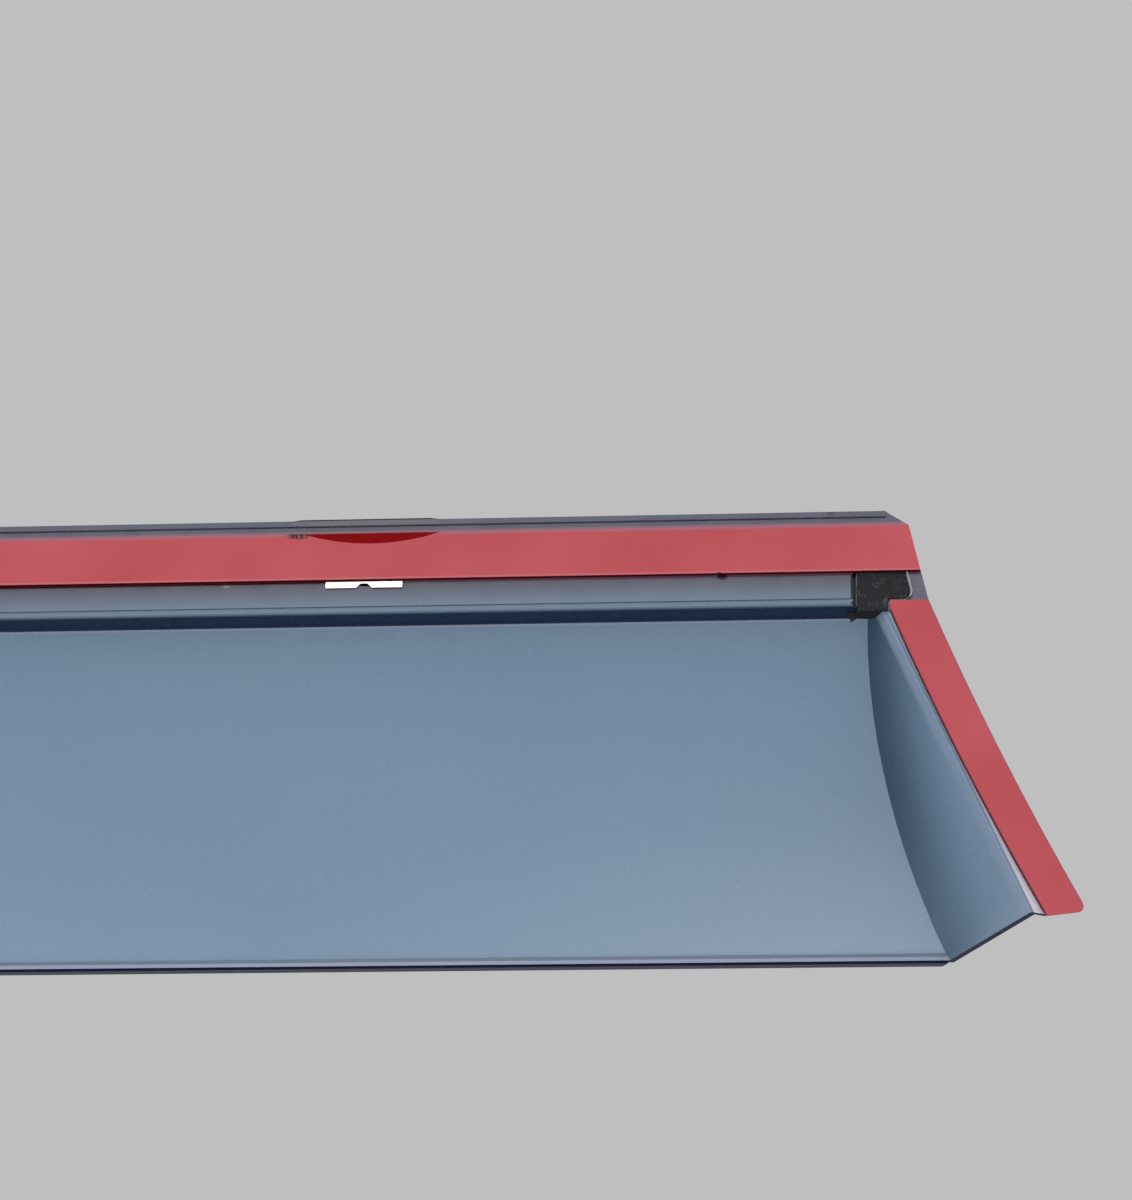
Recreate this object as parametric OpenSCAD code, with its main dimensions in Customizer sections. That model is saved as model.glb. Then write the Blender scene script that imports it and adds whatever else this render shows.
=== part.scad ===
// Tape-on window rain deflector for the upper edge of a vehicle side window.
// The bonding face of the tapes is the plane y = 0, the hood bulges towards +y,
// +z is up and the two halves mirror each other in the plane x = 0.
// The origin is the middle of the face of the top tape.

/* [Hood] */
// Width across the lower tips of the side flanges, before they are rounded
overall_w = 592.6; // [480:0.1:900]
// Height of the arched panel, from the step down to the lip
panel_h = 76.8; // [60:0.1:120]
// Depth from the flange face to the inside of the panel at the lip
hood_depth = 37.5; // [26:0.5:50]
// Depth of the step between the flange and the panel
step_depth = 6.7; // [4:0.1:12]
// Height above the lip at which the panel runs parallel to the flange
crown_rise = 1.4; // [0:0.1:8]
// Wall of the moulding
wall = 1.5; // [1.3:0.1:2.8]
// Lean of each cheek away from the depth direction
cheek_angle = 25.2; // [10:0.1:35]
// How far the lower edge of each cheek rises from the lip to the flange
rim_rise = 0.5; // [0:0.1:2]

/* [Flange] */
// Flange left bare above the top tape
top_margin = 3.6; // [3.5:0.1:8]
// Flange left bare between the top tape and the step
band_h = 8.6; // [7.6:0.1:14]
// Slope of the side flanges from the vertical
side_angle = 24.6; // [16:0.1:32]
// How far the outer edge of each side flange bows inwards at half its height
side_bow = 1.3; // [0:0.1:1.8]
// Slope of the short flange ends beside the top tape
end_angle = 13.1; // [6:0.1:16]
// Depth below the top tape at which the end turns into the side flange
knee_drop = 7; // [4:0.1:9]
// Width of the cut across each upper corner
corner_cut_w = 4.6; // [1:0.1:8]
// Height of the cut across each upper corner
corner_cut_h = 3.5; // [1:0.1:3.5]
// How far the side flanges reach below the lip
flange_drop = 0.1; // [0:0.1:3]
// How far the lower edge of each side flange rises to its outer corner
tip_rise = 1.1; // [0:0.1:3]
// Radius of the lower outer corner of each side flange
tip_radius = 1.6; // [1:0.1:4]
// Radius of the fold between side flange and cheek
fold_radius = 1.2; // [0.6:0.1:1.2]
// Radius of the edge between flange and step
step_radius = 0.8; // [0.3:0.1:1.2]

/* [Rim, groove and lip] */
// Height of the bead along the top rim
bead_h = 1.3; // [0.8:0.1:2]
// How far the bead stands out of the flange face
bead_proud = 0.6; // [0.2:0.05:0.6]
// Width of the groove along the band
groove_w = 0.9; // [0.4:0.1:1.4]
// Depth of the groove along the band
groove_depth = 0.35; // [0.1:0.05:0.8]
// Height of the groove centre above the step
groove_rise = 1.7; // [1.6:0.1:3]
// Height of the thickened lip of the panel
lip_h = 1.8; // [0.8:0.1:4]
// How far the lip stands out of the inside of the panel
lip_proud = 0.35; // [0.1:0.05:0.8]
// Height of the bead along the outer lower edge of the panel
outer_lip_h = 3; // [1:0.1:6]
// How far that bead stands out of the outside of the panel
outer_lip_proud = 2; // [0.5:0.1:3]
// How far that bead hangs below the inside edge of the panel
outer_lip_drop = 0.4; // [0:0.1:1.5]

/* [Tapes] */
// Width of the top tape
top_tape_h = 12; // [9:0.5:16]
// Width of the side tapes
side_tape_w = 9.1; // [6:0.1:12]
// Thickness of the foam tape
tape_t = 1.2; // [0.8:0.05:1.6]
// Thickness of the release liner
liner_t = 0.2; // [0.1:0.05:0.3]
// Distance of each tape end from the edge of the flange
tape_end_gap = 0.1; // [0.1:0.05:0.6]
// Flange left bare outside each side tape
side_margin = 0.3; // [0.2:0.1:3]
// Flange left bare between each side tape and the fold, at the top of the fold
side_inset = 1.4; // [1.2:0.05:4]
// How much wider that bare strip is at the lower end of the fold
inset_gain = 1.1; // [0:0.1:3]
// How far the liner of each side tape hangs past the lower end of its tape
liner_hang = 1; // [0:0.1:4]
// Radius of the upper corners of the top tape
top_tape_radius = 1.2; // [0.3:0.1:3]
// Radius of the lower inner corner of each side tape
side_tape_radius = 1; // [0.3:0.1:2]
// Depth of the peel notch in the top liner at each clip
peel_depth = 2.8; // [1:0.1:5]
// Width of the peel notch in the top liner at each clip
peel_w = 34; // [16:0.5:50]
// Distance of the peel notch from the middle of its clip, outwards
peel_shift = 1.6; // [0:0.1:5]

/* [Corner foam] */
// Reach of the foam from the fold towards the middle of the hood
foam_reach = 6; // [3:0.1:12]
// How far the foam stands out of the flange face
foam_proud = 0.8; // [0.3:0.05:1]
// Gap behind the foam, up to the depth of the step
foam_back_gap = 1.7; // [0:0.1:2]
// How far the foam hangs below the step
foam_drop = 1.6; // [0.5:0.1:4]
// Distance of the foam from the end of the flange
foam_end_inset = 3.7; // [2.2:0.1:5]
// Radius of the lower outer corner of the foam
foam_radius = 2; // [0.5:0.1:3]
// Gap between the foam and the side tape beside it
foam_gap = 0.3; // [0.1:0.05:1]
// Height of the notch that the side tape takes out of the foam
foam_notch = 3.2; // [2.6:0.1:4]
// Width of the slot in the band beside the foam
slot_w = 0.8; // [0.5:0.1:2.5]
// Depth of the slot in the band beside the foam
slot_depth = 1; // [0.5:0.1:1.1]
// Width of the low rib that frames the outer end of the foam
rib_w = 0.4; // [0.3:0.05:1]
// Height of the low rib that frames the outer end of the foam
rib_proud = 0.6; // [0.3:0.05:1]
// Gap between the foam and its rib
rib_gap = 0.1; // [0.05:0.05:0.4]
// Gap between that rib and the side tape
side_tape_gap = 0.1; // [0.05:0.05:1]
// Width of the pointed tongue at the inner lower corner of the foam
tongue_w = 2.8; // [1:0.1:3]
// How far the point of that tongue hangs below the foam
tongue_drop = 1.8; // [0.5:0.1:3]
// Thickness of that tongue
tongue_t = 0.6; // [0.4:0.1:1]

/* [Clips and their seats] */
// Distance between the two clips
clip_pitch = 250; // [120:1:340]
// Width of the raised seat on the rim at each clip
seat_w = 35.6; // [26:0.1:50]
// How far that seat rises above the rim
seat_rise = 0.3; // [0.2:0.1:3]
// Length of the slope at each end of that seat
seat_slope = 2; // [0.2:0.1:6]
// Thickness of the clip sheet
clip_t = 0.5; // [0.3:0.05:0.6]
// Width of the clip head behind the rim
clip_head_w = 33; // [26:0.1:50]
// Height of the clip head
clip_head_h = 4.4; // [3.2:0.1:6]
// Distance of the clip head below the rim
clip_head_drop = 0.5; // [0:0.1:2]
// Width of the cut across each upper corner of the clip head
clip_corner_w = 2; // [0.4:0.1:4]
// Height of the cut across each upper corner of the clip head
clip_corner_h = 1; // [0.4:0.1:3]
// Width of the clip stem
clip_stem_w = 18.7; // [10:0.1:24]
// Height of the two tabs that show below the tape
clip_tab_h = 1.7; // [1.2:0.1:3]
// Gap between the tape and the tabs
clip_tab_gap = 0.2; // [0.1:0.05:0.5]
// Width of the notch between the tabs
clip_notch_w = 1.6; // [1:0.1:8]
// Depth of the notch between the tabs
clip_notch_h = 1.1; // [0.4:0.1:1.1]
// Clearance of the clip in its slot
clip_clearance = 0.15; // [0.1:0.05:0.2]

/* [Hidden] */

// Levels along y: liner face at 0, tape behind it, then the flange
y_tape = liner_t;
y_flange = liner_t + tape_t;
y_back = y_flange + wall;

// Levels along z
z_top = top_tape_h / 2 + top_margin;
z_tape_low = -top_tape_h / 2;
z_tab = z_tape_low - clip_tab_gap;
z_step = z_tape_low - band_h;
z_rim = z_step - panel_h;
z_flange_low = z_rim - flange_drop;
z_tip = z_flange_low + tip_rise;
z_fold_low = z_rim + rim_rise;
z_knee = z_tape_low - knee_drop;
z_crown = z_rim + crown_rise;

// Arc of the panel: it starts at the step and is at full depth at the crown
arc_rise = z_step - z_crown;
arc_run = hood_depth - step_depth;
arc_radius = (arc_run * arc_run + arc_rise * arc_rise) / (2 * arc_run);
arc_y = y_flange + hood_depth - arc_radius;

// Lines of the front view, as x at a given height
function side_x(z) = overall_w / 2 - (z - z_rim) * tan(side_angle);
function end_x(z) = side_x(z_knee) - (z - z_knee) * tan(end_angle);
function side_line(inset, z) = side_x(z) - inset / cos(side_angle);
tape_inset = side_margin + side_tape_w;

// Bow of the side flange and its tape, nothing at the knee and at the rim
function bow(z) =
    let (t = (z - z_rim) / (z_knee - z_rim))
    4 * side_bow * max(0, t * (1 - t));
function bowed(inset, z) = [side_line(inset, z) - bow(z), z];

// Points of a bowed line down from a height, up to the last one before its lower end
function bowed_edge(inset, high, low) =
    [for (i = [0:bow_steps - 1]) bowed(inset, high + (low - high) * i / bow_steps)];

// Fold between side flange and cheek, a straight line in the flange face
fold_high = side_line(tape_inset + side_inset, z_step);
fold_low = side_line(tape_inset + side_inset + inset_gain, z_rim);
fold_angle = atan((fold_low - fold_high) / panel_h);
function fold_x(z) = fold_low - (z - z_rim) * tan(fold_angle);

// Corner foam levels
y_foam_back = y_flange + step_depth - foam_back_gap;
foam_left = fold_high - foam_reach;
z_foam_low = z_step - foam_drop;
z_foam_notch = z_foam_low + foam_notch;
z_side_tape_top = z_foam_notch - rib_gap - rib_w - side_tape_gap;
side_tape_left = bowed(tape_inset, z_foam_low)[0];

// Solids that cut or trim others reach this far past them
past = 5;
long = 2 * (overall_w + panel_h + hood_depth);
arc_steps = 10;
bow_steps = 8;
$fn = 96;

flange_blue = [0.50, 0.58, 0.67];
liner_red = [0.74, 0.34, 0.37];
tape_red = [0.35, 0.05, 0.08];
foam_black = [0.15, 0.15, 0.17];
clip_steel = [0.80, 0.80, 0.80];

function unit(v) = v / norm(v);

function reversed(points) = [for (i = [len(points) - 1:-1:0]) points[i]];

// Points of the arc of radius r that rounds corner b between a and c
function rounded(a, b, c, r) =
    let (u = unit(a - b), v = unit(c - b))
    let (half = acos(u * v) / 2, sweep = 180 - 2 * half)
    let (centre = b + unit(u + v) * r / sin(half))
    let (first = b + u * r / tan(half) - centre, last = b + v * r / tan(half) - centre)
    [for (i = [0:arc_steps])
        let (k = i / arc_steps)
        centre + (first * sin((1 - k) * sweep) + last * sin(k * sweep)) / sin(sweep)];

// Outline drawn as x and z, made solid from y = from to y = to
module front_solid(from, to) {
    translate([0, to, 0])
        rotate([90, 0, 0])
            linear_extrude(to - from)
                children();
}

// Section drawn as y and z, made solid along x over the length given
module section_solid(length) {
    translate([-length / 2, 0, 0])
        rotate([90, 0, 90])
            linear_extrude(length)
                children();
}

// Section across the side fold, made solid along the fold
module along_fold() {
    translate([fold_low, y_flange, z_rim])
        rotate([0, -fold_angle, 0])
            translate([0, 0, -long / 2])
                linear_extrude(long)
                    children();
}

module both_sides() {
    children();
    mirror([1, 0, 0])
        children();
}

// Closed outline from the points of its right half, listed from top to bottom
module mirrored_outline(right) {
    polygon(concat(right, [for (p = reversed(right)) [-p[0], p[1]]]));
}

module flange_plate() {
    edge = bowed_edge(0, z_knee, z_tip);
    lowest = [side_line(tape_inset, z_flange_low), z_flange_low];
    front_solid(y_flange, y_back)
        mirrored_outline(concat(
            [[end_x(z_top) - corner_cut_w, z_top],
             [end_x(z_top - corner_cut_h), z_top - corner_cut_h]],
            edge,
            rounded(edge[bow_steps - 1], bowed(0, z_tip), lowest, tip_radius),
            [lowest, [fold_x(z_fold_low), z_fold_low]]));
}

// Bulge of the hood out to its outer skin (skin = wall) or its inside (skin = 0)
module panel_section(skin) {
    intersection() {
        translate([arc_y, z_crown])
            circle(r = arc_radius + skin);
        polygon([
            [y_flange, z_fold_low],
            [y_flange + hood_depth, z_rim],
            [y_flange + hood_depth + past, z_rim],
            [y_flange + hood_depth + past, z_step + skin],
            [y_flange, z_step + skin]]);
    }
}

module cheek_limit(skin) {
    slope = [-sin(cheek_angle), cos(cheek_angle)];
    across = [cos(cheek_angle), sin(cheek_angle)];
    far_in = -overall_w;
    deep = 2 * (hood_depth + wall);
    along_fold()
        polygon([
            [far_in, 0],
            across * skin - slope * (across * skin)[1] / slope[1],
            across * skin + slope * deep,
            [far_in, deep]]);
}

// Section drawn as y and z, made solid between the two cheeks (skin = wall takes them in)
module between_cheeks(skin) {
    intersection() {
        section_solid(long)
            children();
        cheek_limit(skin);
        mirror([1, 0, 0])
            cheek_limit(skin);
    }
}

module bulge() {
    between_cheeks(wall)
        panel_section(wall);
}

module outer_lip() {
    between_cheeks(0)
        intersection() {
            translate([arc_y, z_crown])
                circle(r = arc_radius + wall + outer_lip_proud);
            translate([y_flange + hood_depth + wall / 2, z_rim - outer_lip_drop])
                square([wall + outer_lip_proud + past, outer_lip_drop + outer_lip_h]);
        }
}

// Inside of the hood, with the rounded edges of the flange around it
module inside_section() {
    face = [y_flange, z_step + past];
    corner = [y_flange, z_step];
    under = [y_flange + step_depth, z_step];
    difference() {
        intersection() {
            translate([arc_y, z_crown])
                circle(r = arc_radius);
            polygon(concat(
                [[y_flange - past, z_rim - past],
                 [y_flange - past, z_step + step_radius]],
                rounded(face, corner, under, step_radius),
                [[y_flange + hood_depth + past, z_step],
                 [y_flange + hood_depth + past, z_rim - past]]));
        }
        lip_section();
    }
}

module lip_section() {
    difference() {
        translate([y_flange + step_depth, z_rim - 2 * past])
            square([hood_depth, lip_h + 2 * past]);
        translate([arc_y, z_crown])
            circle(r = arc_radius - lip_proud);
    }
}

module inside_limit() {
    face = [1, 0];
    corner = [0, 0];
    cheek = [-sin(cheek_angle), cos(cheek_angle)];
    far_in = -overall_w;
    deep = 2 * (hood_depth + wall);
    edge = rounded(face, corner, cheek, fold_radius);
    along_fold()
        polygon(concat(
            [[far_in, -past], [edge[0][0], -past]],
            edge,
            [cheek * deep, [far_in, deep]]));
}

module inside() {
    intersection() {
        section_solid(long)
            inside_section();
        inside_limit();
        mirror([1, 0, 0])
            inside_limit();
    }
}

module rim_bead() {
    half = end_x(z_top) - corner_cut_w;
    translate([-half, y_flange - bead_proud, z_top - bead_h])
        cube([2 * half, bead_proud + wall / 2, bead_h]);
}

// Raised part of the rim in front of a clip
module clip_seat() {
    half = seat_w / 2;
    translate([clip_pitch / 2, 0, 0])
        front_solid(y_flange - bead_proud, y_back)
            mirrored_outline([
                [half - seat_slope, z_top + seat_rise],
                [half, z_top],
                [half, z_top - bead_h]]);
}

module band_groove() {
    half = foam_left - slot_w;
    translate([-half, y_flange - past, z_step + groove_rise - groove_w / 2])
        cube([2 * half, past + groove_depth, groove_w]);
}

module foam_slot() {
    translate([foam_left - slot_w, y_flange - past, z_step - past])
        cube([slot_w, past + slot_depth, past + band_h]);
}

// Low rib on the flange round the outer end of the foam
module foam_rib() {
    front_solid(y_flange - rib_proud, y_flange + wall / 2)
        polygon(concat(
            foam_end(rib_gap + rib_w),
            [[side_tape_left, z_foam_notch - rib_gap - rib_w],
             [side_tape_left, z_foam_notch - rib_gap]],
            reversed(foam_end(rib_gap))));
}

// Outer end of the foam from the top tape round to its notch, grown by a margin
function foam_end(grow) =
    let (low = z_foam_notch - grow)
    let (right_low = [end_x(low) - foam_end_inset + grow, low])
    let (right_high = [end_x(z_tape_low) - foam_end_inset + grow, z_tape_low])
    concat(
        [right_high],
        rounded(right_high, right_low, [foam_left, low], foam_radius + grow));

module foam_outline() {
    foam_right = side_tape_left - foam_gap;
    polygon(concat(
        [[foam_left, z_tape_low]],
        foam_end(0),
        [[foam_right, z_foam_notch],
         [foam_right, z_foam_low],
         [foam_left, z_foam_low]]));
}

// Foam block: it lies on the flange and fills the corner under the step
module corner_foam() {
    color(foam_black)
        union() {
            intersection() {
                front_solid(y_flange - foam_proud, y_foam_back)
                    foam_outline();
                union() {
                    translate([0, y_flange - past, z_rim])
                        cube([overall_w, past, z_top - z_rim]);
                    inside();
                }
            }
            foam_tongue();
        }
}

// Thin pointed tongue that hangs from the middle of the foam's depth
module foam_tongue() {
    y_tongue = (y_flange + y_foam_back - tongue_t) / 2;
    front_solid(y_tongue, y_tongue + tongue_t)
        polygon([
            [foam_left - tongue_w, z_step],
            [foam_left + tongue_w / 2, z_step],
            [foam_left + tongue_w / 2, z_foam_low],
            [foam_left - tongue_w / 2, z_foam_low - tongue_drop]]);
}

// Slot through the flange, just below the tape, for the clip
module clip_slot() {
    half = clip_stem_w / 2 + clip_clearance;
    translate([clip_pitch / 2 - half, y_flange - past, z_tab - clip_t - clip_clearance])
        cube([2 * half, 2 * past + wall, clip_t + 2 * clip_clearance]);
}

module hood() {
    color(flange_blue)
        difference() {
            union() {
                flange_plate();
                bulge();
                outer_lip();
                rim_bead();
                both_sides() {
                    foam_rib();
                    clip_seat();
                }
            }
            inside();
            band_groove();
            both_sides() {
                foam_slot();
                clip_slot();
            }
        }
}

// Sheet metal clip: its plate lies behind the flange and its tabs come out through the slot
module clip() {
    color(clip_steel)
        translate([clip_pitch / 2, 0, 0]) {
            front_solid(y_back, y_back + clip_t)
                clip_plate();
            front_solid(y_flange - clip_t, y_flange)
                clip_tabs();
            translate([-clip_stem_w / 2, y_flange - clip_t, z_tab - clip_t])
                cube([clip_stem_w, wall + 2 * clip_t, clip_t]);
        }
}

module clip_plate() {
    head = clip_head_w / 2;
    stem = clip_stem_w / 2;
    high = z_top - clip_head_drop;
    low = high - clip_head_h;
    mirrored_outline([
        [head - clip_corner_w, high],
        [head, high - clip_corner_h],
        [head, low],
        [stem, low],
        [stem, z_tab - clip_t]]);
}

module clip_tabs() {
    half = clip_stem_w / 2;
    low = z_tab - clip_tab_h;
    mirrored_outline([
        [half, z_tab],
        [half, low],
        [clip_notch_w / 2 + clip_notch_h, low],
        [clip_notch_w / 2, low + clip_notch_h]]);
}

module top_tape_outline() {
    high = top_tape_h / 2;
    top_corner = [end_x(high) - tape_end_gap, high];
    low_corner = [end_x(z_tape_low) - tape_end_gap, z_tape_low];
    mirrored_outline(concat(
        rounded([0, high], top_corner, low_corner, top_tape_radius),
        [low_corner]));
}

module top_tape() {
    color(tape_red)
        front_solid(y_tape, y_flange)
            top_tape_outline();
}

// Round notch that leaves the tape bare at a clip, so that the liner can be peeled
module peel_notch() {
    notch_radius = (peel_w * peel_w / 4 + peel_depth * peel_depth) / (2 * peel_depth);
    translate([clip_pitch / 2 + peel_shift, top_tape_h / 2 - peel_depth + notch_radius])
        circle(r = notch_radius);
}

module top_tape_liner() {
    color(liner_red)
        front_solid(0, y_tape)
            difference() {
                top_tape_outline();
                both_sides()
                    peel_notch();
            }
}

// Outline of the right side tape, made longer at its lower end by a hang
module side_tape_outline(hang) {
    z_low = z_flange_low + tape_end_gap - hang;
    z_out = z_tip + tape_end_gap - hang;
    outer = bowed_edge(side_margin, z_side_tape_top, z_out);
    inner = bowed_edge(tape_inset, z_foam_low, z_low);
    low_out = bowed(side_margin, z_out);
    low_in = bowed(tape_inset, z_low);
    polygon(concat(
        [[side_tape_left, z_side_tape_top]],
        outer,
        rounded(outer[bow_steps - 1], low_out, low_in, tip_radius - tape_end_gap),
        rounded(low_out, low_in, inner[bow_steps - 1], side_tape_radius),
        reversed(inner)));
}

module side_tape() {
    color(tape_red)
        front_solid(y_tape, y_flange)
            side_tape_outline(0);
}

module side_liner() {
    color(liner_red)
        front_solid(0, y_tape)
            side_tape_outline(liner_hang);
}

hood();
top_tape();
top_tape_liner();
side_tape();  // side_tape_right
mirror([1, 0, 0]) side_tape();  // side_tape_left
side_liner();  // side_liner_right
mirror([1, 0, 0]) side_liner();  // side_liner_left
corner_foam();  // corner_foam_right
mirror([1, 0, 0]) corner_foam();  // corner_foam_left
clip();  // clip_right
mirror([1, 0, 0]) clip();  // clip_left
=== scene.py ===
"""Looks of a tape-on window rain deflector, built round its CAD frame."""

import math

import bmesh
import bpy
from mathutils import Matrix, Vector


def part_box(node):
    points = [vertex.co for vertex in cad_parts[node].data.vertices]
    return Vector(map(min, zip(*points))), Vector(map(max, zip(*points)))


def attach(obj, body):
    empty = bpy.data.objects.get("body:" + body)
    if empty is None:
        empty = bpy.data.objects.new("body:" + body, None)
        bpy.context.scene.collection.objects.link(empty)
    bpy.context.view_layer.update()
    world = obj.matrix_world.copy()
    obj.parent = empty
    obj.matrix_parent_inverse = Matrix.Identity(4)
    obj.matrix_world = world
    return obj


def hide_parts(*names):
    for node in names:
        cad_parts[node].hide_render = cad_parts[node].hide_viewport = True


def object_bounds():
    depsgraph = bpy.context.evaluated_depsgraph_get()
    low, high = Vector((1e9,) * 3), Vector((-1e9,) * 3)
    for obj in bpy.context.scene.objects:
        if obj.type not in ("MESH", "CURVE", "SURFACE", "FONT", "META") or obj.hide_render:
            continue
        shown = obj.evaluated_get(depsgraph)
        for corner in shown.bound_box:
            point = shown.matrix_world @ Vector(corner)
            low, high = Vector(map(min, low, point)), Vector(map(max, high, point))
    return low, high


bl_info = {
    "name": "Window rain deflector",
    "version": (1, 0, 0),
    "blender": (4, 5, 0),
    "location": "3D View > Sidebar > Deflector",
    "description": "Hood, tapes, foam and clips of a window rain deflector, with a studio stage",
    "category": "Add Mesh",
}

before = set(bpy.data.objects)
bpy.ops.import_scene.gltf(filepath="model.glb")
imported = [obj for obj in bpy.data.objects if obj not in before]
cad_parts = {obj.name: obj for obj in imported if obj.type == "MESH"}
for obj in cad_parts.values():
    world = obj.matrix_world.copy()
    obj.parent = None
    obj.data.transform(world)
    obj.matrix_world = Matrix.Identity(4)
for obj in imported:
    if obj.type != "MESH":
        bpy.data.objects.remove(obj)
CAD_LOW, CAD_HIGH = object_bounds()
MM = 0.001

BODY = "root"

# Levels of the frame that the tints follow, in metres
Y_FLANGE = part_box("top_tape")[1].y
Z_TAPE_LOW, Z_TAPE_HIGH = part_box("top_tape")[0].z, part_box("top_tape")[1].z
Z_RIM = Z_TAPE_HIGH + 3.6 * MM
Z_STEP = Z_TAPE_LOW - 8.6 * MM
Z_LIP = Z_STEP - 76.8 * MM

# A face this close to a level lies on it; one before Y_RAISED stands proud of the flange
CLOSE = 0.02 * MM
Y_RAISED = Y_FLANGE - 0.3 * MM

# Depths behind the flange: the slot's walls, the fold of the cheeks, the strip of painted light beside
# that fold (full at the first, gone at the second), the panel and its lip
Y_SLOT = Y_FLANGE + 1.2 * MM
Y_FOLD = Y_FLANGE + 2 * MM
Y_LIGHT_FULL, Y_LIGHT_GONE = Y_FLANGE + 2.5 * MM, Y_FLANGE + 4.5 * MM
Y_PANEL = Y_FLANGE + 3 * MM
Y_NEAR_LIP = Y_FLANGE + 30 * MM

# Strips of the flange beside the tape: the upper one has a painted reflection of the film's red,
# the lower one a painted shadow of the tape
Z_GLOW = Z_TAPE_HIGH + MM
Z_CONTACT = Z_TAPE_LOW - 0.4 * MM

# The band begins a little above the step, and its groove lies between these heights
Z_BAND = Z_STEP + 0.5 * MM
Z_GROOVE_LOW, Z_GROOVE_HIGH = Z_STEP + 0.9 * MM, Z_STEP + 3 * MM

# Lower limits on the panel of the step's painted shadow and of the painted highlight below it
Z_BROW = Z_STEP - 0.4 * MM
Z_BRIGHT = Z_BROW - 0.4 * MM

# Inner face of the thickened lip, with a painted highlight, and the crease above it, with painted shade
Z_CREASE_LOW, Z_CREASE_HIGH = Z_LIP + 0.9 * MM, Z_LIP + 1.8 * MM

# Top film: upper limit of the painted highlight along its lower edge and lower limit of its greyer brim
Z_FILM_EDGE = Z_TAPE_LOW + 0.5 * MM
Z_FILM_BRIM = Z_TAPE_HIGH - 0.7 * MM

# Arc of the panel in the y and z plane, as the CAD draws it
ARC_RADIUS = 107.7 * MM
ARC_Y = -68.8 * MM
Z_CROWN = Z_LIP + 1.4 * MM

# Shade of the cheeks beside that arc: how far it reaches from it, its share at the lip, and the
# height above the lip where it is full
FADE = 32 * MM
LIP_SHARE = 0.62
FULL_HEIGHT = 45 * MM

# Distances in metres from the middle of the part, between which the panel is painted paler low down, as
# painted light
PALE_FROM, PALE_TO = 0.1, 0.28

# Outer edge of the side flanges: its distance from the middle at the lip, its slope and its bow
SIDE_X = 296.3 * MM
SIDE_ANGLE = math.radians(24.6)
SIDE_BOW = 1.3 * MM
Z_KNEE = Z_TAPE_LOW - 7 * MM

# Distance of the side tapes' inner edge from that outer edge
SIDE_TAPE_IN = 9.4 * MM

# Ends of the raised seats in front of the clips, from the middle of the part
SEAT_IN, SEAT_OUT = 107.2 * MM, 142.8 * MM

# Slot beside the corner foam: where its painted shadow on the band begins, its outer wall, its width and
# its lower end; then the flange outside the foam, and the height below which the foam's rib has painted
# shade
SHADOW_X = 241.95 * MM
SLOT_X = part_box("corner_foam_right")[0].x + 2.8 * MM
SLOT_WIDTH = 0.85 * MM
Z_SLOT = Z_STEP - 1.6 * MM
CORNER_X = SIDE_X - 43 * MM
Z_RIB_LOW = Z_TAPE_LOW - 6.3 * MM

# Marks of wear, each with its centre and half sizes in mm: a speck on the panel, nicks on the
# rim, the flange and the film, a bright fleck, and a smudge in two parts on the film
SPECK = (237.1, 16, -50.6), (0.7, 9, 0.6)
RIM_NICK = (237.4, 0.8, 9.5), (1.4, 2, 1.1)
FLANGE_NICK = (211.3, 1.4, -6.4), (1.7, 1, 1.1)
FILM_NICK = (210.6, 0, -6.1), (0.8, 1, 0.5)
FLECK = (91.4, 1.4, -6.8), (1.1, 1, 0.4)
SMUDGES = ((108.8, 0, 5.7), (3.6, 1, 1.5)), ((113, 0, 6.0), (6, 1, 0.8))

# Edge rounding of the films and tapes and of the clips
FILM_ROUND, CLIP_ROUND = 0.08 * MM, 0.1 * MM


# Colour and node helpers


def linear(hex_colour):
    """Linear RGBA of an sRGB hex colour such as #BC575E."""
    parts = [int(hex_colour[i:i + 2], 16) / 255 for i in (1, 3, 5)]
    return [c / 12.92 if c <= 0.04045 else ((c + 0.055) / 1.055) ** 2.4 for c in parts] + [1.0]


def add_node(tree, kind, inputs=None, **settings):
    """Adds a node, sets its settings, and gives each input a value or links it to a socket."""
    node = tree.nodes.new(kind)
    for name, value in settings.items():
        setattr(node, name, value)
    for name, value in (inputs or {}).items():
        if isinstance(value, bpy.types.NodeSocket):
            tree.links.new(value, node.inputs[name])
        else:
            node.inputs[name].default_value = value
    return node


def new_material(name):
    """An empty material and its node tree."""
    material = bpy.data.materials.new(name)
    material.use_nodes = True
    tree = material.node_tree
    tree.nodes.clear()
    return material, tree


def surfaced(material, inputs):
    """Ends a material with a Principled surface that has these inputs."""
    tree = material.node_tree
    shader = add_node(tree, "ShaderNodeBsdfPrincipled", inputs)
    add_node(tree, "ShaderNodeOutputMaterial", {"Surface": shader.outputs["BSDF"]})
    return material


def object_place(tree):
    return add_node(tree, "ShaderNodeTexCoord").outputs["Object"]


def parts_of(tree, place):
    """The X, Y and Z sockets of a place."""
    return add_node(tree, "ShaderNodeSeparateXYZ", {0: place}).outputs


def attribute(tree, name):
    """Outputs of one of the mesh's corner attributes."""
    return add_node(tree, "ShaderNodeAttribute", attribute_name=name).outputs


def calculated(tree, operation, *values):
    """Result of a Math node; each value is a number or a socket."""
    return add_node(tree, "ShaderNodeMath", dict(enumerate(values)), operation=operation).outputs[0]


def times(tree, first, second):
    return calculated(tree, "MULTIPLY", first, second)


def vector_outputs(tree, operation, *values):
    """Outputs of a Vector Math node; each value is a vector or a socket."""
    return add_node(tree, "ShaderNodeVectorMath", dict(enumerate(values)), operation=operation).outputs


def ranged(tree, value, low, high, to_low=0.0, to_high=1.0, interpolation="LINEAR"):
    """Maps a value, with to_low at low and to_high at high."""
    step = add_node(tree, "ShaderNodeMapRange",
                    {"Value": value, "From Min": low, "From Max": high, "To Min": to_low, "To Max": to_high},
                    interpolation_type=interpolation)
    return step.outputs["Result"]


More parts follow.
